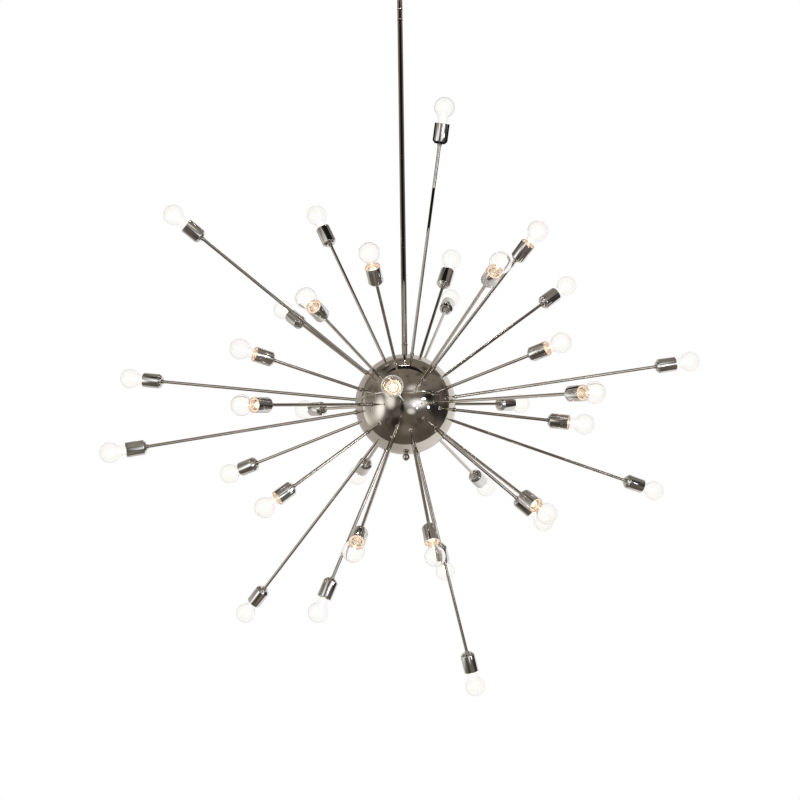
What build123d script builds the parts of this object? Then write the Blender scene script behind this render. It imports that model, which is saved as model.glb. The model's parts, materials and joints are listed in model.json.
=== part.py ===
"""A sputnik chandelier: a polished ball on a stem, with 36 straight arms that end in lit bulbs.

Units are millimetres, +Z is up. The origin is on the ceiling, in the middle of the crossbar's top
face, so the whole light hangs below z = 0. The front of the light looks towards -Y.
"""
import os
from math import acos, cos, radians, sin, sqrt
from typing import NamedTuple

from build123d import *

# --- Fits ---
SEAT_GAP = 0.05  # between pieces that are screwed or clamped against each other
THREAD_FIT = 0.05  # radial, a thread drawn as a plain cylinder in its hole
RUN_FIT = 0.05  # radial, a shaft that turns in its bore
SIDE_FIT = 0.15  # beside the tongue, in the yoke's fork
DRILL_FIT = 0.2  # radial, a hole that a tube or a screw passes through

# --- Ball ---
BALL_DIA = 300
BALL_WALL = 1.5
SEAM_GAP = 0.2
BAND_HEIGHT = 16
BAND_WALL = 1.2

# --- Arms: thin tubes in three visible lengths, from the ball to the back of the cup ---
ROD_LENGTHS = {"short": 287, "middle": 414, "long": 627}
ROD_DIA = 9.5
ROD_BORE = 7.5
ROD_COLLAR_DIA = 13.5
ROD_COLLAR_HEIGHT = 6
ROD_NUT_FLATS = 14
ROD_NUT_HEIGHT = 5
THREAD_STANDOUT = 2
ROD_IN_SOCKET = 10

# --- Rings of arms, from top to bottom: rise above the level, turn of the first arm, lengths ---
# A turn of 0 faces the front and a turn of 90 faces the right. The arms of a ring are evenly spaced.
S, M, L = ROD_LENGTHS
RINGS = {
    "top_ring": (66.5, 24, (L, S, M)),
    "upper_ring": (38, -10, (S, M, M, L, M, L)),
    "upper_waist": (10.5, 20, (L, S, L, S, S, S, L, S, M)),
    "lower_waist": (-10.5, 0, (M, L, S, L, M, S, M, L, M)),
    "lower_ring": (-38, -10, (L, M, S, M, L, S)),
    "bottom_ring": (-66.5, 24, (S, L, M)),
}
# Arms that stand a little off the even pattern: (ring, place in the ring): (rise, turn) in degrees.
SET_OFF = {
    ("top_ring", 1): (1, -7),
    ("upper_ring", 5): (-2, 3),
    ("upper_waist", 2): (-1, -1),
    ("upper_waist", 6): (-1, 0),
    ("upper_waist", 7): (1, 0),
    ("upper_waist", 8): (2, -1),
    ("lower_waist", 1): (0, -2),
    ("lower_waist", 3): (-2, -1),
    ("lower_ring", 0): (-2, 1),
    ("bottom_ring", 1): (1, 6),
}

# --- Cups ---
CUP_DIA = 44
CUP_LENGTH = 60
CUP_WALL = 1
CUP_BACK_DIA = 30
CUP_BEVEL = 7.5
CUP_NECK_DIA = 13.5
CUP_NECK_HEIGHT = 6

# --- Sockets for a 26 mm screw base ---
SOCKET_RECESS = 3.5  # from the cup's mouth back to the socket's face
SOCKET_SIDE_GAP = 0.3
SOCKET_BOSS_DIA = 20
SOCKET_BOSS_HEIGHT = 15
SOCKET_BORE_DIA = 29
SHELL_WALL = 0.6
SHELL_LENGTH = 19
CONTACT_DIA = 10
CONTACT_THICK = 0.5

# --- Bulbs: stations along the bulb are measured from the middle of the globe ---
GLOBE_DIA = 60
GLOBE_FROM_MOUTH = 47
GLASS_WALL = 0.8
GLASS_NECK_DIA = 25.2
NECK_TOP = 52  # where the neck starts to swell
NECK_END = 60  # where the glass ends, inside the base
SWELL_ANGLE = 50  # how far below the widest place the globe's round starts
SWELL_REACH = 6  # how softly the neck runs into the globe
NECK_REACH = 12
BASE_DIA = 26.4
BASE_TOP = 52
BASE_SHELL_END = 72
BASE_WALL = 0.5
BASE_TIP = 79
BASE_TIP_DIA = 9
BASE_TIP_HEIGHT = 1
BASE_FLOOR = 1
STEM_FLARE = 58  # bottom of the glass stem inside the bulb
STEM_PRESS = 25  # top of the glass stem
STEM_DIA = 7
STEM_FLARE_EDGE = 2
STEM_FLARE_HEIGHT = 12
FILAMENT_DIA = 0.9
FILAMENT_SPREAD = 9
FILAMENT_DROP = 2
FILAMENT_RISE = 4
WIRE_FOOT = 3
WIRE_BEND_RADIUS = 1.5

# --- Stem ---
STEM_TUBE_DIA = 17
STEM_TUBE_WALL = 1.5
UPPER_STEM_LENGTH = 305
LOWER_STEM_LENGTH = 1053
NECK_LENGTH = 32
COLLAR_DIA = 20.5
COLLAR_HEIGHT = 5
COUPLER_RING_DIA = 18.5
COUPLER_RING_HEIGHT = 3.5
COUPLER_RING_PITCH = 36
JOINT_DEPTH = 15  # how far each threaded end reaches into a stem tube
WIRE_BORE = 8

# --- Tie rod and finial ---
TIE_ROD_DIA = 10
TIE_ROD_BORE = 6
TIE_NUT_FLATS = 17
TIE_NUT_HEIGHT = 6
WIRE_WINDOW_DIA = 5
WIRE_WINDOW_RISE = 100
FINIAL_DIA = 22
FINIAL_NECK_DIA = 12
FINIAL_NECK = 2.5
FINIAL_POINT = 1.5
FINIAL_THREAD = 12

# --- Crossbar and canopy ---
CROSSBAR_LENGTH = 112
CROSSBAR_WIDTH = 24
CROSSBAR_THICK = 2.5
SLOT_SPACING = 88.9
SLOT_LENGTH = 14
SLOT_WIDTH = 4.8
NIPPLE_DIA = 13
NIPPLE_BORE = 8
NIPPLE_NUT_FLATS = 19
NIPPLE_NUT_HEIGHT = 4
GROUND_SCREW_PLACE = 20
GROUND_SCREW_DIA = 4
GROUND_HEAD_DIA = 8
GROUND_HEAD_HEIGHT = 2.5
CANOPY_DIA = 150
CANOPY_DEPTH = 30
CANOPY_WALL = 1.2
CANOPY_SHOULDER = 24
CANOPY_BELOW_CEILING = 0.3
STUD_SPACING = 62
STUD_DIA = 4
STUD_IN_KNOB = 8
KNOB_DIA = 14
KNOB_FLAT = 1.5

# --- Swivel ---
HOUSING_DIA = 30
HOUSING_HEIGHT = 22
NIPPLE_IN_HOUSING = 10
CAVITY_DIA = 23
HEAD_DIA = 21
HEAD_THICK = 4
HEAD_PLAY = 0.5
SPINDLE_DIA = 14
RETAINER_DIA = 26
RETAINER_LIP = 2.5
YOKE_DIA = 28
BRIDGE_HEIGHT = 7
YOKE_DROP = 1.5
EAR_THICK = 6
EAR_RADIUS = 9
PIN_DIA = 8
PIN_BELOW_BRIDGE = 8.5
PIN_END = 2.5
CLIP_DIA = 13
CLIP_THICK = 1
TONGUE_THICK = 10
TONGUE_RADIUS = 7.5
TONGUE_DROP = 15
TONGUE_SHOULDER = 6

# --- Heights down the middle line, worked out from the sizes above ---
canopy_bottom = -CANOPY_BELOW_CEILING - CANOPY_DEPTH
housing_top = canopy_bottom - SEAT_GAP
cavity_top = housing_top - NIPPLE_IN_HOUSING
housing_bottom = housing_top - HOUSING_HEIGHT
head_top = cavity_top - HEAD_PLAY
head_bottom = head_top - HEAD_THICK
retainer_top = head_bottom - SEAT_GAP
retainer_bottom = housing_bottom - SEAT_GAP - RETAINER_LIP
bridge_top = retainer_bottom - YOKE_DROP
bridge_bottom = bridge_top - BRIDGE_HEIGHT
pin_height = bridge_bottom - PIN_BELOW_BRIDGE
shoulder_top = pin_height - TONGUE_DROP
upper_stem_top = shoulder_top - TONGUE_SHOULDER - SEAT_GAP
coupler_top = upper_stem_top - UPPER_STEM_LENGTH - SEAT_GAP
coupler_bottom = coupler_top - COUPLER_RING_PITCH - COUPLER_RING_HEIGHT
lower_stem_top = coupler_bottom - SEAT_GAP
collar_top = lower_stem_top - LOWER_STEM_LENGTH - SEAT_GAP
collar_bottom = collar_top - COLLAR_HEIGHT
neck_top = collar_bottom - SEAT_GAP
neck_bottom = neck_top - NECK_LENGTH

# --- Ball, seen from its centre ---
ball_radius = BALL_DIA / 2
ball_inside = ball_radius - BALL_WALL
tie_hole_radius = TIE_ROD_DIA / 2 + DRILL_FIT
rod_hole_radius = ROD_DIA / 2 + DRILL_FIT
ball_centre = neck_bottom - SEAT_GAP - sqrt(ball_radius**2 - tie_hole_radius**2)

# --- Stations along an arm, measured from the centre of the ball ---
rod_nut_seat = sqrt(ball_inside**2 - (ROD_NUT_FLATS / sqrt(3)) ** 2) - SEAT_GAP
rod_start = rod_nut_seat - ROD_NUT_HEIGHT - THREAD_STANDOUT
rod_collar_seat = sqrt(ball_radius**2 - rod_hole_radius**2) + SEAT_GAP
socket_face = CUP_LENGTH - SOCKET_RECESS
globe_middle = CUP_LENGTH + GLOBE_FROM_MOUTH

stem_radius = STEM_TUBE_DIA / 2
stem_bore = stem_radius - STEM_TUBE_WALL
joint_radius = stem_bore - THREAD_FIT


class Arm(NamedTuple):
    """One arm: the ring it belongs to, where it points in degrees, and its length."""

    ring: str
    rise: float
    turn: float
    size: str

    @property
    def cup_back(self):
        return ball_radius + ROD_LENGTHS[self.size]

    def plane(self, station):
        """The plane across the arm at a distance from the ball's centre, facing outwards."""
        rise, turn = radians(self.rise), radians(self.turn)
        way = Vector(sin(turn) * cos(rise), -cos(turn) * cos(rise), sin(rise))
        return Plane(origin=Vector(0, 0, ball_centre) + way * station, z_dir=way)


def ring_arms(ring):
    rise, first_turn, sizes = RINGS[ring]
    step = 360 / len(sizes)
    arms = []
    for place, size in enumerate(sizes):
        more_rise, more_turn = SET_OFF.get((ring, place), (0, 0))
        arms.append(Arm(ring, rise + more_rise, first_turn + place * step + more_turn, size))
    return arms


ARMS = [arm for ring in RINGS for arm in ring_arms(ring)]


def save(part, name):
    part.label = name
    export_step(part, f"parts/{name}.step")


def save_group(piece, name, planes):
    """Write one node that holds a copy of the piece on each plane, as separate solids."""
    with BuildPart() as group:
        with Locations(*planes):
            add(piece.part)
    save(group.part, name)


def save_on_arms(piece, name):
    """Write the same piece for all arms, placed by its cup's back."""
    save_group(piece, name, [arm.plane(arm.cup_back) for arm in ARMS])


def save_by_ring(piece, name):
    """Write a node for each ring of arms, placed by its cup's back."""
    for ring in RINGS:
        save_group(piece, f"{ring}_{name}", [arm.plane(arm.cup_back) for arm in ring_arms(ring)])


os.makedirs("parts", exist_ok=True)

# ===== Ceiling fixing =====

# Crossbar: the steel strip that is screwed to the outlet box through its two slots.
with BuildPart() as crossbar:
    with BuildSketch():
        SlotOverall(CROSSBAR_LENGTH, CROSSBAR_WIDTH)
        with GridLocations(SLOT_SPACING, 0, 2, 1):
            SlotOverall(SLOT_LENGTH, SLOT_WIDTH, mode=Mode.SUBTRACT)
        Circle(NIPPLE_DIA / 2 + THREAD_FIT, mode=Mode.SUBTRACT)
        with GridLocations(STUD_SPACING, 0, 2, 1):
            Circle(STUD_DIA / 2 + THREAD_FIT, mode=Mode.SUBTRACT)
        with Locations((GROUND_SCREW_PLACE, 0)):
            Circle(GROUND_SCREW_DIA / 2 + THREAD_FIT, mode=Mode.SUBTRACT)
    extrude(amount=-CROSSBAR_THICK)
save(crossbar.part, "crossbar")

# Ground screw: a round-headed screw up into the crossbar.
with BuildPart() as ground_screw:
    with BuildSketch(Plane.XY.offset(-CROSSBAR_THICK)):
        with Locations((GROUND_SCREW_PLACE, 0)):
            Circle(GROUND_HEAD_DIA / 2)
    extrude(amount=-GROUND_HEAD_HEIGHT)
    fillet(ground_screw.edges().sort_by(Axis.Z)[0], 1)
    with BuildSketch(Plane.XY.offset(-CROSSBAR_THICK)):
        with Locations((GROUND_SCREW_PLACE, 0)):
            Circle(GROUND_SCREW_DIA / 2)
    extrude(amount=CROSSBAR_THICK)
save(ground_screw.part, "ground_screw")

# Nipple: the threaded tube that hangs from the crossbar and carries everything below it.
with BuildPart() as nipple:
    with BuildSketch():
        Circle(NIPPLE_DIA / 2)
        Circle(NIPPLE_BORE / 2, mode=Mode.SUBTRACT)
    extrude(amount=cavity_top + THREAD_FIT)
save(nipple.part, "nipple")

with BuildPart() as nipple_nut:
    with BuildSketch(Plane.XY.offset(-CROSSBAR_THICK - SEAT_GAP)):
        RegularPolygon(NIPPLE_NUT_FLATS / 2, 6, major_radius=False)
        Circle(NIPPLE_DIA / 2 + THREAD_FIT, mode=Mode.SUBTRACT)
    extrude(amount=-NIPPLE_NUT_HEIGHT)
save(nipple_nut.part, "nipple_lock_nut")

# Canopy: a spun pan with a large rounded shoulder, open towards the ceiling.
with BuildPart() as canopy:
    with BuildSketch(Plane.XY.offset(-CANOPY_BELOW_CEILING)):
        Circle(CANOPY_DIA / 2)
    extrude(amount=-CANOPY_DEPTH)
    fillet(canopy.edges().sort_by(Axis.Z)[0], CANOPY_SHOULDER)
    offset(amount=-CANOPY_WALL, openings=canopy.faces().sort_by(Axis.Z)[-1])
    with Locations((0, 0, canopy_bottom)):
        Hole(NIPPLE_DIA / 2 + DRILL_FIT)
        with GridLocations(STUD_SPACING, 0, 2, 1):
            Hole(STUD_DIA / 2 + DRILL_FIT)
save(canopy.part, "canopy")

# Two studs hang from the crossbar, and a round knob on each holds the canopy up.
stud_end = canopy_bottom - SEAT_GAP - STUD_IN_KNOB
with BuildPart() as canopy_studs:
    with BuildSketch():
        with GridLocations(STUD_SPACING, 0, 2, 1):
            Circle(STUD_DIA / 2)
    extrude(amount=stud_end)
save(canopy_studs.part, "canopy_studs")

knob_seat = canopy_bottom - SEAT_GAP
with BuildPart() as knob:
    with Locations((0, 0, KNOB_FLAT - KNOB_DIA / 2)):
        Sphere(KNOB_DIA / 2)
    split(bisect_by=Plane.XY, keep=Keep.BOTTOM)
    Hole(STUD_DIA / 2 + THREAD_FIT, depth=STUD_IN_KNOB + THREAD_FIT)
knob_seats = [Plane(origin=(side * STUD_SPACING / 2, 0, knob_seat)) for side in (-1, 1)]
save_group(knob, "canopy_knobs", knob_seats)

# ===== Hang-straight swivel =====

# Housing: screwed onto the nipple, it holds the yoke's head in its cavity.
with BuildPart() as housing:
    with BuildSketch(Plane.XY.offset(housing_top)):
        Circle(HOUSING_DIA / 2)
    extrude(amount=-HOUSING_HEIGHT)
    fillet(housing.edges().sort_by(Axis.Z)[0], 2)
    with Locations((0, 0, housing_top)):
        Hole(NIPPLE_DIA / 2 + THREAD_FIT)
    with BuildSketch(Plane.XY.offset(cavity_top)):
        Circle(CAVITY_DIA / 2)
    extrude(amount=-HOUSING_HEIGHT, mode=Mode.SUBTRACT)
save(housing.part, "swivel_housing")

# Retainer: the ring screwed into the housing from below, on which the yoke's head turns.
with BuildPart() as retainer:
    with BuildSketch(Plane.XY.offset(retainer_top)):
        Circle(CAVITY_DIA / 2 - THREAD_FIT)
    extrude(amount=housing_bottom - SEAT_GAP - retainer_top)
    with BuildSketch(Plane.XY.offset(housing_bottom - SEAT_GAP)):
        Circle(RETAINER_DIA / 2)
    extrude(amount=-RETAINER_LIP)
    with Locations((0, 0, retainer_top)):
        Hole(SPINDLE_DIA / 2 + RUN_FIT)
save(retainer.part, "swivel_retainer")

# Yoke: a head and a spindle that turn in the housing, over a fork for the tongue.
fork_half = TONGUE_THICK / 2 + SIDE_FIT
ear_outside = fork_half + EAR_THICK
with BuildPart() as yoke:
    with BuildSketch(Plane.XY.offset(head_top)):
        Circle(HEAD_DIA / 2)
    extrude(amount=-HEAD_THICK)
    with BuildSketch(Plane.XY.offset(head_bottom)):
        Circle(SPINDLE_DIA / 2)
    extrude(amount=bridge_top - head_bottom)
    with BuildSketch(Plane.XY.offset(bridge_top)):
        Circle(YOKE_DIA / 2)
    extrude(amount=-BRIDGE_HEIGHT)
    with BuildSketch(Plane.YZ):
        with Locations((0, pin_height)):
            Circle(EAR_RADIUS)
        with Locations((0, (bridge_bottom + pin_height) / 2)):
            Rectangle(2 * EAR_RADIUS, PIN_BELOW_BRIDGE)
    extrude(amount=ear_outside, both=True)
    with BuildSketch(Plane.YZ):
        with Locations((0, bridge_bottom - EAR_RADIUS)):
            Rectangle(2 * YOKE_DIA, 2 * EAR_RADIUS)
    extrude(amount=fork_half, both=True, mode=Mode.SUBTRACT)
    with BuildSketch(Plane.YZ):
        with Locations((0, pin_height)):
            Circle(PIN_DIA / 2 + THREAD_FIT)
    extrude(amount=YOKE_DIA, both=True, mode=Mode.SUBTRACT)
    with Locations((0, 0, head_top)):
        Hole(WIRE_BORE / 2)
save(yoke.part, "swivel_yoke")

# Pin across the fork, with a clip on each end.
pin_half = ear_outside + PIN_END
with BuildPart() as pin:
    with BuildSketch(Plane.YZ):
        with Locations((0, pin_height)):
            Circle(PIN_DIA / 2)
    extrude(amount=pin_half, both=True)
    chamfer(pin.edges().filter_by(GeomType.CIRCLE), 0.5)
save(pin.part, "swivel_pin")

with BuildPart() as clips:
    for side in (-1, 1):
        with BuildSketch(Plane.YZ.offset(side * (ear_outside + SEAT_GAP))):
            with Locations((0, pin_height)):
                Circle(CLIP_DIA / 2)
                Circle(PIN_DIA / 2 + SEAT_GAP, mode=Mode.SUBTRACT)
        extrude(amount=side * CLIP_THICK)
save(clips.part, "swivel_pin_clips")

# Tongue: a blade on the pin, a shoulder, and a threaded end inside the upper stem.
with BuildPart() as tongue:
    with BuildSketch(Plane.YZ):
        with Locations((0, pin_height)):
            Circle(TONGUE_RADIUS)
        with Locations((0, pin_height - TONGUE_DROP / 2)):
            Rectangle(2 * TONGUE_RADIUS, TONGUE_DROP)
    extrude(amount=TONGUE_THICK / 2, both=True)
    with BuildSketch(Plane.XY.offset(shoulder_top)):
        Circle(stem_radius)
    extrude(amount=-TONGUE_SHOULDER)
    with BuildSketch(Plane.XY.offset(upper_stem_top)):
        Circle(joint_radius)
    extrude(amount=-JOINT_DEPTH)
    with BuildSketch(Plane.XY.offset(upper_stem_top)):
        Circle(joint_radius)
    extrude(amount=SEAT_GAP)
    with BuildSketch(Plane.YZ):
        with Locations((0, pin_height)):
            Circle(PIN_DIA / 2 + RUN_FIT)
    extrude(amount=YOKE_DIA, both=True, mode=Mode.SUBTRACT)
save(tongue.part, "swivel_tongue")

# ===== Stem =====


def save_stem_tube(name, top, length):
    with BuildPart() as tube:
        with BuildSketch(Plane.XY.offset(top)):
            Circle(stem_radius)
            Circle(stem_bore, mode=Mode.SUBTRACT)
        extrude(amount=-length)
    save(tube.part, name)


save_stem_tube("upper_stem", upper_stem_top, UPPER_STEM_LENGTH)
save_stem_tube("lower_stem", lower_stem_top, LOWER_STEM_LENGTH)

# Coupler: a sleeve as wide as the stem, with a raised ring at each end.
with BuildPart() as coupler:
    with BuildSketch(Plane.XY.offset(coupler_bottom)):
        Circle(stem_radius)
    extrude(amount=coupler_top - coupler_bottom)
    for ring_bottom in (coupler_bottom, coupler_top - COUPLER_RING_HEIGHT):
        with BuildSketch(Plane.XY.offset(ring_bottom)):
            Circle(COUPLER_RING_DIA / 2)
        extrude(amount=COUPLER_RING_HEIGHT)
    with Locations((0, 0, coupler_top)):
        Hole(stem_bore)
save(coupler.part, "stem_coupler")

# Coupler nipple: the threaded tube inside the coupler and both stems.
with BuildPart() as coupler_nipple:
    with BuildSketch(Plane.XY.offset(coupler_bottom - JOINT_DEPTH)):
        Circle(joint_radius)
        Circle(WIRE_BORE / 2, mode=Mode.SUBTRACT)
    extrude(amount=coupler_top - coupler_bottom + 2 * JOINT_DEPTH)
save(coupler_nipple.part, "coupler_nipple")

# Collar: a ring between the stem and the neck, screwed onto the tie rod and into the stem.
with BuildPart() as stem_collar:
    with BuildSketch(Plane.XY.offset(collar_bottom)):
        Circle(COLLAR_DIA / 2)
    extrude(amount=COLLAR_HEIGHT)
    fillet(stem_collar.edges(), 0.8)
    with BuildSketch(Plane.XY.offset(collar_top)):
        Circle(joint_radius)
    extrude(amount=JOINT_DEPTH)
    with Locations((0, 0, collar_top + JOINT_DEPTH)):
        Hole(TIE_ROD_DIA / 2 + THREAD_FIT)
save(stem_collar.part, "stem_collar")

# Neck: the short tube from the collar down to the ball, around the tie rod.
with BuildPart() as ball_neck:
    with BuildSketch(Plane.XY.offset(neck_bottom)):
        Circle(stem_radius)
        Circle(tie_hole_radius, mode=Mode.SUBTRACT)
    extrude(amount=NECK_LENGTH)
save(ball_neck.part, "ball_neck")

# ===== Ball =====


def save_ball_shell(name, keep, arms):
    """Half of the ball, with a hole for each of its arms and one for the tie rod."""
    side = 1 if keep == Keep.TOP else -1
    with BuildPart() as shell:
        with Locations((0, 0, ball_centre)):
            Sphere(ball_radius)
            Sphere(ball_inside, mode=Mode.SUBTRACT)
        split(bisect_by=Plane.XY.offset(ball_centre + side * SEAM_GAP / 2), keep=keep)
        with Locations(*[arm.plane(ball_radius) for arm in arms]):
            Hole(rod_hole_radius, depth=BALL_DIA / 20)
        with BuildSketch(Plane.XY.offset(ball_centre)):
            Circle(tie_hole_radius)
        extrude(amount=side * BALL_DIA, mode=Mode.SUBTRACT)
    save(shell.part, name)


save_ball_shell("upper_shell", Keep.TOP, [arm for arm in ARMS if arm.rise > 0])
save_ball_shell("lower_shell", Keep.BOTTOM, [arm for arm in ARMS if arm.rise < 0])

# Seam band: a ring inside the equator that keeps the two halves in line.
band_outside = ball_inside - SEAT_GAP
with BuildPart() as seam_band:
    with Locations((0, 0, ball_centre)):
        Sphere(band_outside)
    split(bisect_by=Plane.XY.offset(ball_centre + BAND_HEIGHT / 2), keep=Keep.BOTTOM)
    split(bisect_by=Plane.XY.offset(ball_centre - BAND_HEIGHT / 2), keep=Keep.TOP)
    with BuildSketch(Plane.XY.offset(ball_centre - BAND_HEIGHT / 2)):
        Circle(band_outside - BAND_WALL)
    extrude(amount=BAND_HEIGHT, mode=Mode.SUBTRACT)
save(seam_band.part, "seam_band")

# Tie rod: a threaded tube that pulls the collar, the neck, both shells and the finial together.
tie_rod_top = collar_top + JOINT_DEPTH - THREAD_STANDOUT
finial_seat = -sqrt(ball_radius**2 - tie_hole_radius**2) - SEAT_GAP + ball_centre
tie_rod_bottom = finial_seat - FINIAL_THREAD
with BuildPart() as tie_rod:
    with BuildSketch(Plane.XY.offset(tie_rod_bottom)):
        Circle(TIE_ROD_DIA / 2)
        Circle(TIE_ROD_BORE / 2, mode=Mode.SUBTRACT)
    extrude(amount=tie_rod_top - tie_rod_bottom)
    with BuildSketch(Plane.YZ):
        with Locations((0, ball_centre + WIRE_WINDOW_RISE)):
            Circle(WIRE_WINDOW_DIA / 2)
    extrude(amount=TIE_ROD_DIA, both=True, mode=Mode.SUBTRACT)
save(tie_rod.part, "tie_rod")

tie_nut_seat = ball_centre + sqrt(ball_inside**2 - (TIE_NUT_FLATS / sqrt(3)) ** 2) - SEAT_GAP
with BuildPart() as tie_nut:
    with BuildSketch(Plane.XY.offset(tie_nut_seat)):
        RegularPolygon(TIE_NUT_FLATS / 2, 6, major_radius=False)
        Circle(TIE_ROD_DIA / 2 + THREAD_FIT, mode=Mode.SUBTRACT)
    extrude(amount=-TIE_NUT_HEIGHT)
save(tie_nut.part, "tie_rod_nut")

# Finial: a small ball with a slightly pointed bottom, screwed onto the tie rod's lower end.
finial_radius = FINIAL_DIA / 2
neck_radius = FINIAL_NECK_DIA / 2
finial_middle = -FINIAL_NECK - sqrt(finial_radius**2 - neck_radius**2)
finial_tip = (0, finial_middle - finial_radius - FINIAL_POINT)
point_angle = acos(finial_radius / (finial_radius + FINIAL_POINT))
point_join = (finial_radius * sin(point_angle), finial_middle - finial_radius * cos(point_angle))
with BuildPart() as finial:
    with BuildSketch(Plane(origin=(0, 0, finial_seat), x_dir=(1, 0, 0), z_dir=(0, -1, 0))):
        with BuildLine():
            side_line = Line((neck_radius, 0), (neck_radius, -FINIAL_NECK))
            ThreePointArc(side_line @ 1, (finial_radius, finial_middle), point_join)
            Polyline(point_join, finial_tip, (0, 0), (neck_radius, 0))
        make_face()
    revolve(axis=Axis.Z)
    with Locations((0, 0, finial_seat)):
        Hole(TIE_ROD_DIA / 2 + THREAD_FIT, depth=FINIAL_THREAD + THREAD_FIT)
save(finial.part, "finial")

# ===== Arms =====

# Rods: tubes from inside the ball into the sockets.
for ring in RINGS:
    with BuildPart() as rods:
        for arm in ring_arms(ring):
            with BuildSketch(arm.plane(rod_start)):
                Circle(ROD_DIA / 2)
                Circle(ROD_BORE / 2, mode=Mode.SUBTRACT)
            extrude(amount=arm.cup_back + ROD_IN_SOCKET - rod_start)
    save(rods.part, f"{ring}_rods")

# Rod collar: the small ring against the outside of the ball.
with BuildPart() as rod_collar:
    with BuildSketch():
        Circle(ROD_COLLAR_DIA / 2)
    extrude(amount=ROD_COLLAR_HEIGHT)
    chamfer(rod_collar.edges().sort_by(Axis.Z)[-1], 1)
    with Locations((0, 0, ROD_COLLAR_HEIGHT)):
        Hole(ROD_DIA / 2 + SEAT_GAP)
save_group(rod_collar, "rod_collars", [arm.plane(rod_collar_seat) for arm in ARMS])

# Rod lock nut: inside the ball, it pulls the collar tight.
with BuildPart() as rod_nut:
    with BuildSketch():
        RegularPolygon(ROD_NUT_FLATS / 2, 6, major_radius=False)
        Circle(ROD_DIA / 2 + SEAT_GAP, mode=Mode.SUBTRACT)
    extrude(amount=-ROD_NUT_HEIGHT)
save_group(rod_nut, "rod_lock_nuts", [arm.plane(rod_nut_seat) for arm in ARMS])

# Cup neck: the round nut on the rod, behind the cup.
with BuildPart() as cup_neck:
    with BuildSketch():
        Circle(CUP_NECK_DIA / 2)
        Circle(ROD_DIA / 2 + SEAT_GAP, mode=Mode.SUBTRACT)
    extrude(amount=-CUP_NECK_HEIGHT)
save_on_arms(cup_neck, "cup_necks")

# Cup: a thin cylinder with a bevelled back, open at the mouth. Its back lies at z = 0.
with BuildPart() as cup:
    with BuildSketch(Plane.XZ):
        with BuildLine():
            Polyline((0, 0), (CUP_BACK_DIA / 2, 0), (CUP_DIA / 2, CUP_BEVEL),
                     (CUP_DIA / 2, CUP_LENGTH), (0, CUP_LENGTH), close=True)
        make_face()
    revolve(axis=Axis.Z)
    offset(amount=-CUP_WALL, openings=cup.faces().sort_by(Axis.Z)[-1])
    with Locations((0, 0, CUP_WALL)):
        Hole(ROD_DIA / 2 + SEAT_GAP)
save_by_ring(cup, "cups")

# Socket: the insulating body inside the cup. Its boss stands on the cup's back and takes the rod.
with BuildPart() as socket:
    boss_bottom = CUP_WALL + SEAT_GAP
    with BuildSketch(Plane.XY.offset(boss_bottom)):
        Circle(SOCKET_BOSS_DIA / 2)
    extrude(amount=SOCKET_BOSS_HEIGHT)
    with BuildSketch(Plane.XY.offset(boss_bottom + SOCKET_BOSS_HEIGHT)):
        Circle(CUP_DIA / 2 - CUP_WALL - SOCKET_SIDE_GAP)
    extrude(amount=socket_face - boss_bottom - SOCKET_BOSS_HEIGHT)
    chamfer(socket.edges().sort_by(Axis.Z)[-1], 1)
    socket_floor = globe_middle - BASE_TIP - CONTACT_THICK
    with Locations((0, 0, socket_face)):
        Hole(SOCKET_BORE_DIA / 2, depth=socket_face - socket_floor)
    with BuildSketch():
        Circle(ROD_DIA / 2 + THREAD_FIT)
    extrude(amount=ROD_IN_SOCKET + SEAT_GAP, mode=Mode.SUBTRACT)
save_by_ring(socket, "sockets")

# Screw shell: the thin metal tube that lines the socket's bore.
shell_outside = SOCKET_BORE_DIA / 2 - THREAD_FIT
with BuildPart() as screw_shell:
    with BuildSketch(Plane.XY.offset(socket_face - SOCKET_RECESS - SHELL_LENGTH)):
        Circle(shell_outside)
        Circle(shell_outside - SHELL_WALL, mode=Mode.SUBTRACT)
    extrude(amount=SHELL_LENGTH)
save_on_arms(screw_shell, "screw_shells")

# Socket contact: the disc on the socket's floor, under the bulb's tip.
with BuildPart() as socket_contact:
    with BuildSketch(Plane.XY.offset(socket_floor)):
        Circle(CONTACT_DIA / 2)
    extrude(amount=CONTACT_THICK)
save_on_arms(socket_contact, "socket_contacts")

# ===== Bulbs =====


def globe_outline(inset):
    """Half of the bulb's outline, from the open end of the neck round to the top of the globe."""
    neck = GLASS_NECK_DIA / 2 - inset
    globe = GLOBE_DIA / 2 - inset
    swell = radians(SWELL_ANGLE)
    join = Vector(globe * cos(swell), globe_middle - globe * sin(swell))
    along = Vector(sin(swell), cos(swell))
    neck_end = (neck, globe_middle - NECK_END)
    neck_top = Vector(neck, globe_middle - NECK_TOP)
    Line(neck_end, neck_top)
    Bezier(neck_top, neck_top + Vector(0, NECK_REACH), join - along * SWELL_REACH, join)
    top = (0, globe_middle + globe)
    ThreePointArc(join, (globe, globe_middle), top)
    Polyline(top, (0, globe_middle - NECK_END), neck_end)


# Glass envelope: a globe on a neck, hollow, open at the bottom of the neck.
with BuildPart() as bulb_glass:
    for inset, mode in ((0, Mode.ADD), (GLASS_WALL, Mode.SUBTRACT)):
        with BuildSketch(Plane.XZ):
            with BuildLine():
                globe_outline(inset)
            make_face()
        revolve(axis=Axis.Z, mode=mode)
save_by_ring(bulb_glass, "bulb_glass")

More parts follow.
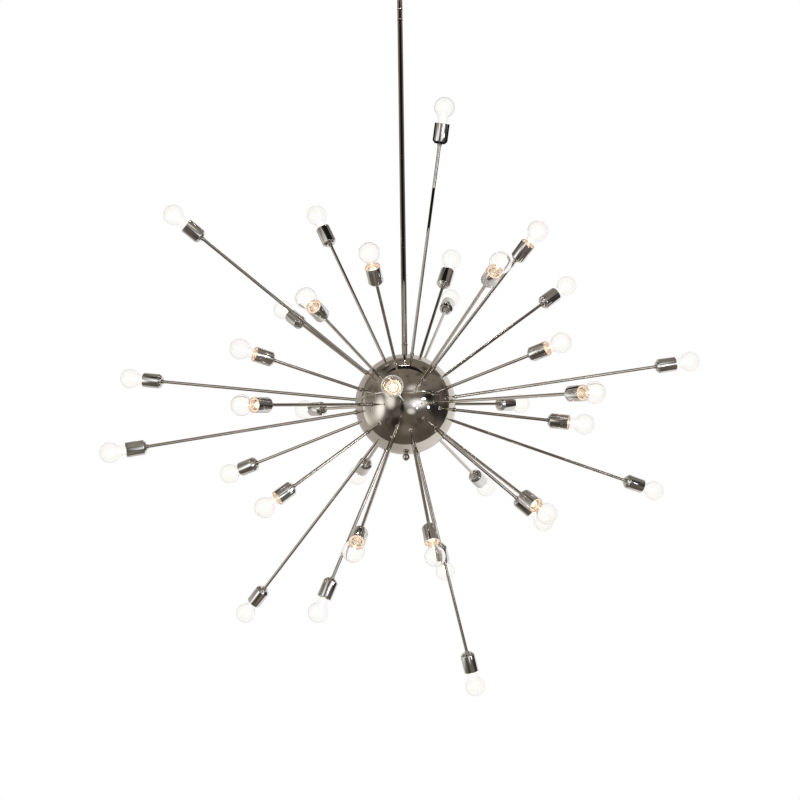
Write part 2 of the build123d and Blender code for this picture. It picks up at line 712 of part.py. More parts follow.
# Base: the screw cap around the end of the neck, closed by the insulator and the tip.
with BuildPart() as bulb_base:
    with BuildSketch(Plane.XZ):
        with BuildLine():
            rim = globe_middle - BASE_TOP
            floor = globe_middle - BASE_SHELL_END
            tip = globe_middle - BASE_TIP
            inner = BASE_DIA / 2 - BASE_WALL
            Polyline((inner, rim), (BASE_DIA / 2, rim), (BASE_DIA / 2, floor),
                     (BASE_TIP_DIA / 2, tip + BASE_TIP_HEIGHT), (BASE_TIP_DIA / 2, tip), (0, tip),
                     (0, floor + BASE_FLOOR), (inner, floor + BASE_FLOOR), close=True)
        make_face()
    revolve(axis=Axis.Z)
save_on_arms(bulb_base, "bulb_bases")

# Bulb stem: the flared glass tube inside the neck that carries the filament's wires.
flare = GLASS_NECK_DIA / 2 - GLASS_WALL - SEAT_GAP
stem_bottom = globe_middle - STEM_FLARE
stem_top = globe_middle - STEM_PRESS
with BuildPart() as bulb_stem:
    with BuildSketch(Plane.XZ):
        with BuildLine():
            Polyline((0, stem_bottom), (flare, stem_bottom), (flare, stem_bottom + STEM_FLARE_EDGE),
                     (STEM_DIA / 2, stem_bottom + STEM_FLARE_HEIGHT), (STEM_DIA / 2, stem_top),
                     (0, stem_top), close=True)
        make_face()
    revolve(axis=Axis.Z)
save_on_arms(bulb_stem, "bulb_stems")

# Filament: two lead wires that spread from the stem, with the filament arched between them.
wire_foot_side = STEM_DIA / 4
wire_bend = stem_top + WIRE_FOOT
wire_top = globe_middle - FILAMENT_DROP
with BuildPart() as filament:
    with BuildLine(Plane.XZ) as wire_path:
        FilletPolyline((-wire_foot_side, stem_top), (-wire_foot_side, wire_bend),
                       (-FILAMENT_SPREAD, wire_top), (0, wire_top + FILAMENT_RISE),
                       (FILAMENT_SPREAD, wire_top), (wire_foot_side, wire_bend),
                       (wire_foot_side, stem_top), radius=WIRE_BEND_RADIUS)
    with BuildSketch(Plane(origin=wire_path.line @ 0, z_dir=wire_path.line % 0)):
        Circle(FILAMENT_DIA / 2)
    sweep(path=wire_path.line)
save_on_arms(filament, "bulb_filaments")
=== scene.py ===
# %% [markdown]
# # Dressing a sputnik chandelier
# The construction model already holds every piece at its real size, so this lesson gives the light
# its looks: a mirror-polished ball on a stem, 36 thin arms, bright cups and clear lit bulbs.
# We load the model as a frame that never moves, and measure it before anything is added.

# %% Load the frame
import json
from math import cos, pi, radians, sin

import bpy
from mathutils import Matrix, Vector


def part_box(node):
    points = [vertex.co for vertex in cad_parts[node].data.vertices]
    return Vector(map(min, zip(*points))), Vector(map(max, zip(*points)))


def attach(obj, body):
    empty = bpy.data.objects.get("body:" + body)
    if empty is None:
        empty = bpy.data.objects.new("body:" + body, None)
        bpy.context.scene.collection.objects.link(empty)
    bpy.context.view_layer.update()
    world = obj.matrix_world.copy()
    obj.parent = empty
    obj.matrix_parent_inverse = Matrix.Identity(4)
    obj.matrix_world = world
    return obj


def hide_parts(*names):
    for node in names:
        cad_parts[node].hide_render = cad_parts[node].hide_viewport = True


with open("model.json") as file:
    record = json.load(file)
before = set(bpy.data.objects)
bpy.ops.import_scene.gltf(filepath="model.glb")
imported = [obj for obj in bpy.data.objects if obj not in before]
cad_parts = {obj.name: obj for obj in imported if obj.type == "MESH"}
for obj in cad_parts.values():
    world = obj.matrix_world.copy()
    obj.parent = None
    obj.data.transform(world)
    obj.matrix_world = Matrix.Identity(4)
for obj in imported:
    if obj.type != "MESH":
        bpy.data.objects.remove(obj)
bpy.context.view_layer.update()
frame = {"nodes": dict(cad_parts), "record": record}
MM = 0.001
print("nodes in the frame:", len(frame["nodes"]))

# %% [markdown]
# ## Where the arms point
# The arms stand in six rings around the ball. A ring has one rise above the level, and its arms are
# evenly spaced in turn. This could be read back from the tubes' meshes, but a short table of rings
# says the same and can be read by a person. A few arms stand a little off the even pattern.

# %% The ball's centre and the arms' directions
# in millimetres
BALL_RADIUS = 150
ROD_LENGTHS = {"short": 287, "middle": 414, "long": 627}
S, M, L = ROD_LENGTHS
# rise, turn of the first arm, rod lengths (angles in degrees)
RINGS = {
    "top_ring": (66.5, 24, (L, S, M)),
    "upper_ring": (38, -10, (S, M, M, L, M, L)),
    "upper_waist": (10.5, 20, (L, S, L, S, S, S, L, S, M)),
    "lower_waist": (-10.5, 0, (M, L, S, L, M, S, M, L, M)),
    "lower_ring": (-38, -10, (L, M, S, M, L, S)),
    "bottom_ring": (-66.5, 24, (S, L, M)),
}
# more rise and more turn, in degrees, of the arm at a place in its ring
SET_OFF = {
    ("top_ring", 1): (1, -7),
    ("upper_ring", 5): (-2, 3),
    ("upper_waist", 2): (-1, -1),
    ("upper_waist", 6): (-1, 0),
    ("upper_waist", 7): (1, 0),
    ("upper_waist", 8): (2, -1),
    ("lower_waist", 1): (0, -2),
    ("lower_waist", 3): (-2, -1),
    ("lower_ring", 0): (-2, 1),
    ("bottom_ring", 1): (1, 6),
}
ball_centre = Vector((0, 0, (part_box("upper_shell")[0][2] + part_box("lower_shell")[1][2]) / 2))


def ring_arms(ring):
    """The arms of a ring: direction and length name of each."""
    rise, first_turn, sizes = RINGS[ring]
    arms = []
    for place, size in enumerate(sizes):
        more_rise, more_turn = SET_OFF.get((ring, place), (0, 0))
        up = radians(rise + more_rise)
        turn = radians(first_turn + place * 360 / len(sizes) + more_turn)
        arms.append((Vector((sin(turn) * cos(up), -cos(turn) * cos(up), sin(up))), size))
    return arms


def on_arm(way, station):
    """The place across an arm at a distance in millimetres from the ball's centre."""
    turned_out = way.to_track_quat("Z", "Y").to_matrix().to_4x4()
    return Matrix.Translation(ball_centre + way * station * MM) @ turned_out


def cup_backs(ring):
    return [on_arm(way, BALL_RADIUS + ROD_LENGTHS[size]) for way, size in ring_arms(ring)]


all_arms = [arm for ring in RINGS for arm in ring_arms(ring)]
print("arms:", len(all_arms), "ball centre at", round(ball_centre.z, 4), "m")

# %% [markdown]
# ## The camera first
# The photograph was taken from below, through a long lens, with the light a little off its axis.
# With the camera set before the pieces, each test render can be compared with the photograph. The
# view is built from its distance and its angles, and a small shift puts the ball where the
# photograph has it.

# %% Camera
# metres from the ball, then degrees
CAMERA_DISTANCE = 6.29
CAMERA_TURN = 3.0
CAMERA_BELOW = 14.7
CAMERA_ROLL = -0.8
PHOTO_SIZE = 800
FOCAL_PIXELS = 2110
BALL_IN_PHOTO = (405.4, 404.3)
SENSOR_WIDTH = 36

turn, below, roll = radians(CAMERA_TURN), radians(CAMERA_BELOW), radians(CAMERA_ROLL)
to_camera = Vector((sin(turn) * cos(below), -cos(turn) * cos(below), -sin(below)))
level_right = to_camera.cross(Vector((0, 0, 1))).normalized() * -1
level_up = to_camera.cross(level_right)
right = cos(roll) * level_right + sin(roll) * level_up
up = -sin(roll) * level_right + cos(roll) * level_up
camera_data = bpy.data.cameras.new("camera")
camera_data.sensor_width = SENSOR_WIDTH
camera_data.lens = SENSOR_WIDTH * FOCAL_PIXELS / PHOTO_SIZE
camera_data.shift_x = -(BALL_IN_PHOTO[0] - PHOTO_SIZE / 2) / PHOTO_SIZE
camera_data.shift_y = (BALL_IN_PHOTO[1] - PHOTO_SIZE / 2) / PHOTO_SIZE
camera = bpy.data.objects.new("camera", camera_data)
bpy.context.collection.objects.link(camera)
camera_axes = Matrix((right, up, to_camera)).transposed().to_4x4()
camera.matrix_world = Matrix.Translation(ball_centre + to_camera * CAMERA_DISTANCE) @ camera_axes
bpy.context.scene.camera = camera
bpy.context.scene.view_settings.view_transform = "Standard"
print("camera at", [round(v, 2) for v in camera.location])

# %% [markdown]
# ## A lathe made of extrudes
# Nearly every bright piece of this light is turned on a lathe or spun over a form: round about one
# axis, with an outline that steps in and out. Blender's Spin would turn an outline too, but a
# circle that is extruded from point to point and scaled at each step keeps clean rings of
# faces, and reads like the lathe work itself. An outline is a list of radius and height in
# millimetres, and where it closes on itself it makes a wall with an inside and an outside.

# %% The lathe and the copies
# the radius, in millimetres, at which an outline meets the axis
TINY = 0.001


def deselect():
    if bpy.context.mode != "OBJECT":
        bpy.ops.object.mode_set(mode="OBJECT")
    bpy.ops.object.select_all(action="DESELECT")


def arc(centre_radius, centre_height, radius, start, end, steps):
    """Points of a round stretch, with its angles in degrees from straight out towards up."""
    angles = [radians(start + (end - start) * i / steps) for i in range(steps + 1)]
    return [(centre_radius + radius * cos(a), centre_height + radius * sin(a)) for a in angles]


def turned(name, outline, sides=48, closed=True, smooth=35):
    """Turn an outline of (radius, height) points about Z into one mesh."""
    deselect()
    radius, height = max(outline[0][0], TINY), outline[0][1]
    start = (0, 0, height * MM)
    bpy.ops.mesh.primitive_circle_add(vertices=sides, radius=radius * MM, location=start)
    piece = bpy.context.object
    piece.name = name
    bpy.ops.object.transform_apply(location=True, rotation=True, scale=True)
    bpy.ops.object.mode_set(mode="EDIT")
    bpy.ops.mesh.select_all(action="SELECT")
    for next_radius, next_height in outline[1:]:
        next_radius = max(next_radius, TINY)
        step = (0, 0, (next_height - height) * MM)
        bpy.ops.mesh.extrude_region_move(TRANSFORM_OT_translate={"value": step})
        widen = next_radius / radius
        bpy.ops.transform.resize(value=(widen, widen, 1), center_override=(0, 0, 0))
        radius, height = next_radius, next_height
    if closed:
        bpy.ops.mesh.select_all(action="DESELECT")
        bpy.ops.mesh.select_non_manifold()
        bpy.ops.mesh.bridge_edge_loops()
    bpy.ops.mesh.select_all(action="SELECT")
    bpy.ops.mesh.remove_doubles(threshold=4 * TINY * MM)
    bpy.ops.mesh.normals_make_consistent(inside=False)
    bpy.ops.object.mode_set(mode="OBJECT")
    bpy.ops.object.shade_smooth_by_angle(angle=radians(smooth))
    return piece


def joined(pieces, name):
    """Join pieces into one."""
    deselect()
    for piece in pieces:
        piece.select_set(True)
    bpy.context.view_layer.objects.active = pieces[0]
    bpy.ops.object.join()
    whole = bpy.context.object
    whole.name = name
    return whole


def copied(piece, name, places):
    """Copy a piece to each place, join the copies into one, and delete the first."""
    copies = []
    for place in places:
        one = piece.copy()
        one.data = piece.data.copy()
        one.data.transform(place)
        bpy.context.collection.objects.link(one)
        copies.append(one)
    bpy.data.objects.remove(piece)
    return joined(copies, name)


# %% [markdown]
# ## Finishes
# Polished nickel is a mirror with a warm grey tint. A single colour and roughness would look like
# plastic film, so three small effects are built once as node groups and used by each finish with
# its own values: a polishing haze that varies the gloss, fine lines from the buffing wheel, and
# tarnish that gathers as a slightly browner tint. They read Object coordinates, so they stay on
# the metal from every side.

# %% Effect groups
# sizes of the noise: clouds of haze, fine lines and their wobble, patches of tarnish
HAZE_SCALE = 9
LINE_SCALE = 260
WOBBLE_SCALE = 7
TARNISH_SCALE = 14
ALONG_THE_PIECE = (1, 1, 0.06)


def effect_group(name, inputs, output, output_type="NodeSocketFloat"):
    """A new node group with float inputs and one output. Returns the group and its end nodes."""
    group = bpy.data.node_groups.new(name, "ShaderNodeTree")
    for label, value in inputs:
        socket = group.interface.new_socket(label, in_out="INPUT", socket_type="NodeSocketFloat")
        socket.default_value = value
    group.interface.new_socket(output, in_out="OUTPUT", socket_type=output_type)
    return group, group.nodes.new("NodeGroupInput"), group.nodes.new("NodeGroupOutput")


def noise(tree, scale, detail, stretch=(1, 1, 1)):
    """A noise texture on Object coordinates, stretched along the axes. Returns its node."""
    place = tree.nodes.new("ShaderNodeTexCoord")
    mapping = tree.nodes.new("ShaderNodeMapping")
    mapping.inputs["Scale"].default_value = stretch
    texture = tree.nodes.new("ShaderNodeTexNoise")
    texture.inputs["Scale"].default_value = scale
    texture.inputs["Detail"].default_value = detail
    tree.links.new(place.outputs["Object"], mapping.inputs["Vector"])
    tree.links.new(mapping.outputs["Vector"], texture.inputs["Vector"])
    return texture


def spread(tree, source, low, high, out_low, out_high):
    """Map a factor from one range to another."""
    node = tree.nodes.new("ShaderNodeMapRange")
    for label, value in (("From Min", low), ("From Max", high)):
        node.inputs[label].default_value = value
    for label, value in (("To Min", out_low), ("To Max", out_high)):
        if isinstance(value, (int, float)):
            node.inputs[label].default_value = value
        else:
            tree.links.new(value, node.inputs[label])
    tree.links.new(source, node.inputs["Value"])
    return node.outputs["Result"]


haze, haze_in, haze_out = effect_group("polishing_haze", [("Clean", 0.05), ("Hazy", 0.14)], "Roughness")
cloud = noise(haze, HAZE_SCALE, 5)
clean, hazy = haze_in.outputs["Clean"], haze_in.outputs["Hazy"]
hazy_part = spread(haze, cloud.outputs["Fac"], 0.42, 0.68, clean, hazy)
haze.links.new(hazy_part, haze_out.inputs["Roughness"])

lines, lines_in, lines_out = effect_group("buffing_lines", [("Depth", 1.0)], "Height")
fine = noise(lines, LINE_SCALE, 2, ALONG_THE_PIECE)
wobble = noise(lines, WOBBLE_SCALE, 1)
added = lines.nodes.new("ShaderNodeMath")
added.operation = "MULTIPLY_ADD"
lines.links.new(fine.outputs["Fac"], added.inputs[0])
lines.links.new(lines_in.outputs["Depth"], added.inputs[1])
lines.links.new(wobble.outputs["Fac"], added.inputs[2])
lines.links.new(added.outputs[0], lines_out.inputs["Height"])

tarnish, tarnish_in, tarnish_out = effect_group("tarnish", [("Amount", 0.3)], "Mask")
patches = noise(tarnish, TARNISH_SCALE, 6)
tarnished_part = spread(tarnish, patches.outputs["Fac"], 0.45, 0.75, 0.0, tarnish_in.outputs["Amount"])
tarnish.links.new(tarnished_part, tarnish_out.inputs["Mask"])
print("effect groups:", [group.name for group in bpy.data.node_groups])

# %% [markdown]
# The frame brings a plain material for each finish in its record, with that finish's own name.
# Blender would quietly number a second one, so ours get a longer name and are kept in a
# table, from which the pieces take them.

# %% Helpers that put a finish together
FINISHES = {}
BUMP_DISTANCE = 0.0002
# the Mix node has sockets for each kind of data, and these are the ones for colours
MIX_FACTOR, MIX_UNDER, MIX_OVER, MIX_RESULT = 0, 6, 7, 2


def new_material(name):
    """A fresh material, kept in the table of finishes. Returns its tree and its shader."""
    material = bpy.data.materials.new(f"{name}_finish")
    FINISHES[name] = material
    material.use_nodes = True
    tree = material.node_tree
    return tree, tree.nodes["Principled BSDF"]


def use_group(tree, group, **values):
    node = tree.nodes.new("ShaderNodeGroup")
    node.node_tree = group
    for label, value in values.items():
        node.inputs[label].default_value = value
    return node.outputs[0]


def mixed(tree, mask, under, over):
    """Lay a colour over another where the mask says so. Each is three numbers or a socket."""
    node = tree.nodes.new("ShaderNodeMix")
    node.data_type = "RGBA"
    tree.links.new(mask, node.inputs[MIX_FACTOR])
    for place, colour in ((MIX_UNDER, under), (MIX_OVER, over)):
        if isinstance(colour, tuple):
            node.inputs[place].default_value = (*colour, 1)
        else:
            tree.links.new(colour, node.inputs[place])
    return node.outputs[MIX_RESULT]


def bumped(tree, shader, height, strength):
    node = tree.nodes.new("ShaderNodeBump")
    node.inputs["Strength"].default_value = strength
    node.inputs["Distance"].default_value = BUMP_DISTANCE
    tree.links.new(height, node.inputs["Height"])
    tree.links.new(node.outputs["Normal"], shader.inputs["Normal"])


def metal(name, colour, aged, tarnish_amount, clean, hazy, line_depth, bump):
    """A bright metal: tint with tarnish, uneven gloss and fine lines."""
    tree, shader = new_material(name)
    mask = use_group(tree, tarnish, Amount=tarnish_amount)
    tree.links.new(mixed(tree, mask, colour, aged), shader.inputs["Base Color"])
    tree.links.new(use_group(tree, haze, Clean=clean, Hazy=hazy), shader.inputs["Roughness"])
    bumped(tree, shader, use_group(tree, lines, Depth=line_depth), bump)
    shader.inputs["Metallic"].default_value = 1


# %% [markdown]
# The ball is spun and then buffed to a mirror, so it is the glossiest and gets almost no lines.
# The tubes and turned fittings keep a little more of the buffing wheel. Zinc-plated steel, brass
# and porcelain only show close up, at the ceiling and inside the cups.

# %% Nickel, steel, brass and green paint
NICKEL = (0.64, 0.605, 0.56)
NICKEL_AGED = (0.52, 0.46, 0.39)
# tint, aged tint, tarnish, roughness where clean and where hazy, depth of lines, bump
METALS = {
    "ball_nickel": (NICKEL, NICKEL_AGED, 0.5, 0.025, 0.07, 0.02, 0.04),
    "rod_nickel": (NICKEL, NICKEL_AGED, 0.3, 0.025, 0.06, 0.05, 0.008),
    "stem_nickel": (NICKEL, NICKEL_AGED, 0.5, 0.05, 0.11, 0.2, 0.04),
    # painted light: the cups' nickel is lighter than the other nickel, for the light of the bulbs and the
    # backdrop on them
    "cup_nickel": ((0.78, 0.79, 0.79), (0.64, 0.62, 0.59), 0.4, 0.015, 0.06, 0.1, 0.02),
    "fitting_nickel": ((0.70, 0.66, 0.60), NICKEL_AGED, 0.6, 0.06, 0.16, 0.3, 0.1),
    "canopy_nickel": (NICKEL, NICKEL_AGED, 0.5, 0.05, 0.12, 0.15, 0.1),
    "zinc_steel": ((0.58, 0.58, 0.56), (0.42, 0.42, 0.41), 0.7, 0.25, 0.42, 0.8, 0.3),
    "brass": ((0.72, 0.54, 0.26), (0.45, 0.31, 0.14), 0.7, 0.2, 0.38, 0.5, 0.2),
    "bulb_base_metal": ((0.72, 0.70, 0.66), (0.5, 0.47, 0.43), 0.6, 0.18, 0.32, 0.5, 0.1),
}
for name, values in METALS.items():
    metal(name, *values)

tree, shader = new_material("green_screw")
mask = use_group(tree, tarnish, Amount=0.8)
tree.links.new(mixed(tree, mask, (0.05, 0.30, 0.10), (0.03, 0.18, 0.07)), shader.inputs["Base Color"])
tree.links.new(use_group(tree, haze, Clean=0.3, Hazy=0.5), shader.inputs["Roughness"])
shader.inputs["Metallic"].default_value = 0.4
print("metals and paint:", list(FINISHES))

# %% [markdown]
# The porcelain glows inside a cup, because the bulb's light is caught in there: a pale cream body
# with a faint warm painted glow that stands in for that light. The bulb's glass is clear. What shows
# of it in the photograph is its grey edge, where one looks along the glass, and the white flood of
# light behind the middle. Layer Weight says how far a surface faces away, so it paints shade on the
# edge and a painted glow in the middle.

# %% Porcelain and glass
tree, shader = new_material("porcelain")
mask = use_group(tree, tarnish, Amount=0.6)
tree.links.new(mixed(tree, mask, (0.90, 0.86, 0.78), (0.80, 0.72, 0.60)), shader.inputs["Base Color"])
tree.links.new(use_group(tree, haze, Clean=0.32, Hazy=0.5), shader.inputs["Roughness"])
# painted glow: the porcelain's faint warm light stands in for the bulb's light caught in the cup
shader.inputs["Emission Color"].default_value = (1.0, 0.58, 0.32, 1)
shader.inputs["Emission Strength"].default_value = 0.5


def facing_ramp(tree, stops):
    """Colours that follow how far the surface turns away: stops are (position, colour)."""
    weight = tree.nodes.new("ShaderNodeLayerWeight")
    weight.inputs["Blend"].default_value = 0.5
    ramp = tree.nodes.new("ShaderNodeValToRGB")
    elements = ramp.color_ramp.elements
    while len(elements) < len(stops):
        elements.new(0.5)
    for element, (position, colour) in zip(elements, stops):
        element.position = position
        element.color = (*colour, 1)
    tree.links.new(weight.outputs["Facing"], ramp.inputs["Fac"])
    return ramp.outputs["Color"]


# painted shade: the glass's colour at each step from its middle (0) to its darker edge (1)
CLEAR_STOPS = [(0.0, (0.985, 0.98, 0.97)), (0.40, (0.975, 0.968, 0.958)), (0.80, (0.93, 0.925, 0.92))]
# the painted glow dims towards the edge and is gone near it
DIMMED = 0.45
DIM_AT, DARK_AT = 0.45, 0.85
GLASS_IOR = 1.45


def clear_glass(name, edge, glow):
    """Clear glass with painted shade at its edge and a faint painted glow in the middle."""
    tree, shader = new_material(name)
    tree.links.new(facing_ramp(tree, [*CLEAR_STOPS, (1.0, edge)]), shader.inputs["Base Color"])
    dim = tuple(DIMMED * part for part in glow)
    lit = [(0.0, glow), (DIM_AT, dim), (DARK_AT, (0, 0, 0))]
    tree.links.new(facing_ramp(tree, lit), shader.inputs["Emission Color"])
    shader.inputs["Roughness"].default_value = 0
    shader.inputs["Emission Strength"].default_value = 1
    shader.inputs["Transmission Weight"].default_value = 1
    shader.inputs["IOR"].default_value = GLASS_IOR


# painted shade on each glass's grey edge; a faint painted glow on the bulb glass, a stronger painted glow on
# the stem glass
clear_glass("bulb_glass", (0.86, 0.86, 0.87), (0.014, 0.011, 0.006))
clear_glass("stem_glass", (0.90, 0.88, 0.85), (0.30, 0.24, 0.17))

tree, shader = new_material("hot_filament")
mask = use_group(tree, tarnish, Amount=0.5)
tree.links.new(mixed(tree, mask, (1.0, 0.80, 0.52), (1.0, 0.68, 0.36)), shader.inputs["Emission Color"])
tree.links.new(mixed(tree, mask, (0.5, 0.45, 0.4), (0.4, 0.35, 0.3)), shader.inputs["Base Color"])
shader.inputs["Emission Strength"].default_value = 18

# %% [markdown]
# ## Finishes on the construction model
# Nodes whose shape is right as they are keep it and only get their finish: the fork, the tongue,
# the crossbar, the nuts and what sits inside the cups. Each node takes the finish that its record
# names, so a new node needs no line here.

# %% Dress the nodes
for part in frame["record"]["subparts"]:
    for slot in frame["nodes"][part["node"]].material_slots:
        slot.material = FINISHES[part["material_slot"]]


def finish_piece(piece, body, node):
    """Let a new piece ride on its body, stand for its node and take the node's finish."""
    slot = next(part["material_slot"] for part in frame["record"]["subparts"] if part["node"] == node)
    piece.data.materials.clear()
    piece.data.materials.append(FINISHES[slot])
    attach(piece, body)
    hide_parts(node)
    print(piece.name, "faces:", len(piece.data.polygons))


# %% [markdown]
# ## The ball
# Two bowls are spun from sheet and meet at the equator. Each edge is rolled inwards a little, and
# that leaves the thin dark seam that runs round the ball. A UV sphere cut in half would have the
# curve but no edge, so the outline goes up the outside, round the hole at the pole and back down
# the inside, and closes at the rolled edge.

# %% Ball shells
BALL_WALL = 1.5
POLE_HOLE = 5.2
SEAM_HALF = 0.1
ROLLED_EDGE = 1.1
ROLL_IN, ROLL_UP = 0.35, 0.3
INSIDE_LIP = 0.02
BALL_STEPS = 56
pole_angle = 90 - 180 / pi * POLE_HOLE / BALL_RADIUS
edge_angle = 180 / pi * (SEAM_HALF + ROLLED_EDGE) / BALL_RADIUS


def ball_outline(side):
    """The outline of the upper half (side 1) or, mirrored, of the lower half (side -1)."""
    inside = BALL_RADIUS - BALL_WALL
    outer = arc(0, 0, BALL_RADIUS, edge_angle, pole_angle, BALL_STEPS)
    inner = arc(0, 0, inside, pole_angle, edge_angle, BALL_STEPS)
    rolled = [(BALL_RADIUS - ROLLED_EDGE, SEAM_HALF), (BALL_RADIUS - ROLL_IN, SEAM_HALF + ROLL_UP)]
    points = rolled + outer + inner + [(inside - INSIDE_LIP, SEAM_HALF)]
    return [(radius, side * height) for radius, height in points]


for name, node, side in (("ball_upper_half", "upper_shell", 1), ("ball_lower_half", "lower_shell", -1)):
    half = turned(name, ball_outline(side), sides=160, smooth=25)
    half.data.transform(Matrix.Translation(ball_centre))
    finish_piece(half, "pendant", node)

# %% [markdown]
# ## Rods, collars and necks
# The rods are thin tubes, cut square with the sharp corner taken off. Each passes through a small
# collar against the ball, and ends in a round nut behind its cup. Both are turned with a shallow
# groove, which catches the light as a fine ring.

# %% Rods
ROD_RADIUS = 4.75
ROD_BORE_RADIUS = 3.75
ROD_START = 141.0
ROD_IN_SOCKET = 10
CORNER = 0.4


def rod_outline(end):
    """A tube with its corners taken off, up to a distance from the ball's centre."""
    return [(ROD_BORE_RADIUS, ROD_START), (ROD_RADIUS - CORNER, ROD_START),
            (ROD_RADIUS, ROD_START + CORNER), (ROD_RADIUS, end - CORNER),
            (ROD_RADIUS - CORNER, end), (ROD_BORE_RADIUS, end)]


for ring in RINGS:
    rods = []
    for way, size in ring_arms(ring):
        rod = turned("rod", rod_outline(BALL_RADIUS + ROD_LENGTHS[size] + ROD_IN_SOCKET), sides=32)
        rods.append(copied(rod, "rod", [on_arm(way, 0)]))
    finish_piece(joined(rods, f"{ring}_tubes"), "pendant", f"{ring}_rods")

# %% [markdown]
# The grooves are part of the outlines. A collar's outline starts on the ball and a neck's ends
# just behind its cup, so the two differ in which end carries the groove.

# %% Collars on the ball and necks behind the cups
arm_collar_outline = [(4.8, 0.05), (6.3, 0.05), (6.7, 0.4), (6.7, 3.3), (6.25, 3.6), (6.25, 4.0),
                      (6.6, 4.3), (6.4, 5.2), (5.8, 5.9), (4.8, 6.0)]
neck_outline = [(4.8, -6.0), (5.6, -6.0), (6.2, -5.6), (6.3, -5.0), (5.9, -4.6), (5.9, -4.3),
                (6.7, -3.8), (6.7, -0.5), (6.4, -0.05), (4.8, -0.05)]
collar = turned("collar", arm_collar_outline, sides=32)
collars = copied(collar, "arm_collars", [on_arm(way, BALL_RADIUS) for way, size in all_arms])
finish_piece(collars, "pendant", "rod_collars")
neck = turned("neck", neck_outline, sides=32)
necks = copied(neck, "arm_end_nuts", [place for ring in RINGS for place in cup_backs(ring)])
finish_piece(necks, "pendant", "cup_necks")

# %% [markdown]
# ## Cups
# A cup is spun from thin sheet: a flat back with a raised lip, a bevel out to the full width, a
# straight body and a mouth with its edge rolled round. The outline runs along the outside and
# back along the inside, so the wall has its real thickness and the bright inside shows at the
# mouth. For each ring one cup is made and copied to the ring's arms.

# %% Cups
back_of_cup = [(4.8, 0.3), (8.6, 0.3), (9.0, 0.0), (13.9, 0.0), (14.7, 0.3), (15.2, 0.9), (15.6, 1.5)]
side_of_cup = [(20.9, 6.7), (21.6, 7.5), (21.9, 8.3), (22.0, 9.2), (22.0, 59.1)]
rolled_mouth = [(21.9, 59.6), (21.6, 59.95), (21.3, 59.95), (21.05, 59.6), (21.0, 59.0)]
inside_of_cup = [(21.0, 9.4), (20.6, 8.2), (14.8, 2.0), (13.8, 1.1), (4.8, 1.1)]
cup_outline = back_of_cup + side_of_cup + rolled_mouth + inside_of_cup
for ring in RINGS:
    cup = turned("cup", cup_outline, sides=56)
    cups = copied(cup, f"{ring}_bright_cups", cup_backs(ring))
    finish_piece(cups, "pendant", f"{ring}_cups")

# %% [markdown]
# ## Bulbs
# The bulb is a blown envelope: a globe of 60 mm that runs into a narrow neck. The outline is the
# neck, a soft swell and the globe's round. The swell is a Bezier curve, worked out by its formula,
# that leaves the neck straight and meets the globe in its own direction. Outside and inside
# surfaces both matter, because the glass bends light only where it has a thickness.

# %% Bulb envelopes
# heights count from the back of the cup, and those of the neck from the globe's middle down
GLOBE_MIDDLE = 107
GLOBE_RADIUS = 30
GLASS_WALL = 0.8
NECK_RADIUS = 12.6
NECK_TOP = 52
NECK_END = 60
NECK_REACH = 12
SWELL_ANGLE = 50
SWELL_REACH = 6
SWELL_STEPS = 12
GLOBE_START = 4
GLOBE_STEPS = 26


def envelope(inset):
    """One surface of the glass, from the end of the neck to the top of the globe."""
    neck = NECK_RADIUS - inset
    globe = GLOBE_RADIUS - inset
    swell = radians(SWELL_ANGLE)
    join = Vector((globe * cos(swell), GLOBE_MIDDLE - globe * sin(swell)))
    along = Vector((sin(swell), cos(swell)))
    start = Vector((neck, GLOBE_MIDDLE - NECK_TOP))
    handles = (start, start + Vector((0, NECK_REACH)), join - along * SWELL_REACH, join)
    points = [(neck, GLOBE_MIDDLE - NECK_END)]
    for i in range(SWELL_STEPS + 1):
        t = i / SWELL_STEPS
        shares = ((1 - t) ** 3, 3 * t * (1 - t) ** 2, 3 * t**2 * (1 - t), t**3)
        point = sum((share * handle for share, handle in zip(shares, handles)), Vector((0, 0)))
        points.append((point.x, point.y))
    return points + arc(0, GLOBE_MIDDLE, globe, GLOBE_START - SWELL_ANGLE, 90, GLOBE_STEPS)


glass_outline = envelope(0) + list(reversed(envelope(GLASS_WALL)))
for ring in RINGS:
    bulb = turned("bulb", glass_outline, sides=56, smooth=60)
    bulbs = copied(bulb, f"{ring}_bulbs", cup_backs(ring))
    finish_piece(bulbs, "pendant", f"{ring}_bulb_glass")

# %% [markdown]
# ## Stem, coupler and finial
# Long pieces down the middle line take their heights from the frame, so they lie where the
# construction model has them. The collars and rings are rounded, because a sharp corner on a
# polished part never gives the thin bright line that the photograph shows.

# %% Stem tubes
STEM_RADIUS = 8.5
STEM_BORE_RADIUS = 7.0


def heights(node):
    """Lowest and highest point of a node, in millimetres."""
    low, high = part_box(node)
    return low[2] / MM, high[2] / MM


def tube_outline(low, high, bore=STEM_BORE_RADIUS):
    """A stem tube with its corners taken off."""
    flat = STEM_RADIUS - CORNER
    return [(bore, low), (flat, low), (STEM_RADIUS, low + CORNER), (STEM_RADIUS, high - CORNER),
            (flat, high), (bore, high)]


for name, node in (("top_tube", "upper_stem"), ("long_tube", "lower_stem")):
    finish_piece(turned(name, tube_outline(*heights(node)), sides=72), "pendant", node)
low, high = heights("ball_neck")
neck_tube = turned("ball_neck_tube", tube_outline(low, high, POLE_HOLE), sides=72)
finish_piece(neck_tube, "pendant", "ball_neck")

# %% [markdown]
# The coupler joins the two tubes of the stem and has a raised ring at each end. The collar lies
# on the neck over the ball, and its spigot goes up into the stem.

# %% Coupler and collar
RING_RADIUS = 9.25
RING_HEIGHT = 3.5
COLLAR_RADIUS = 10.25
COLLAR_HEIGHT = 5
COLLAR_ROUND = 1.6
TIE_ROD_HOLE = 5.05
SPIGOT_RADIUS = 6.95


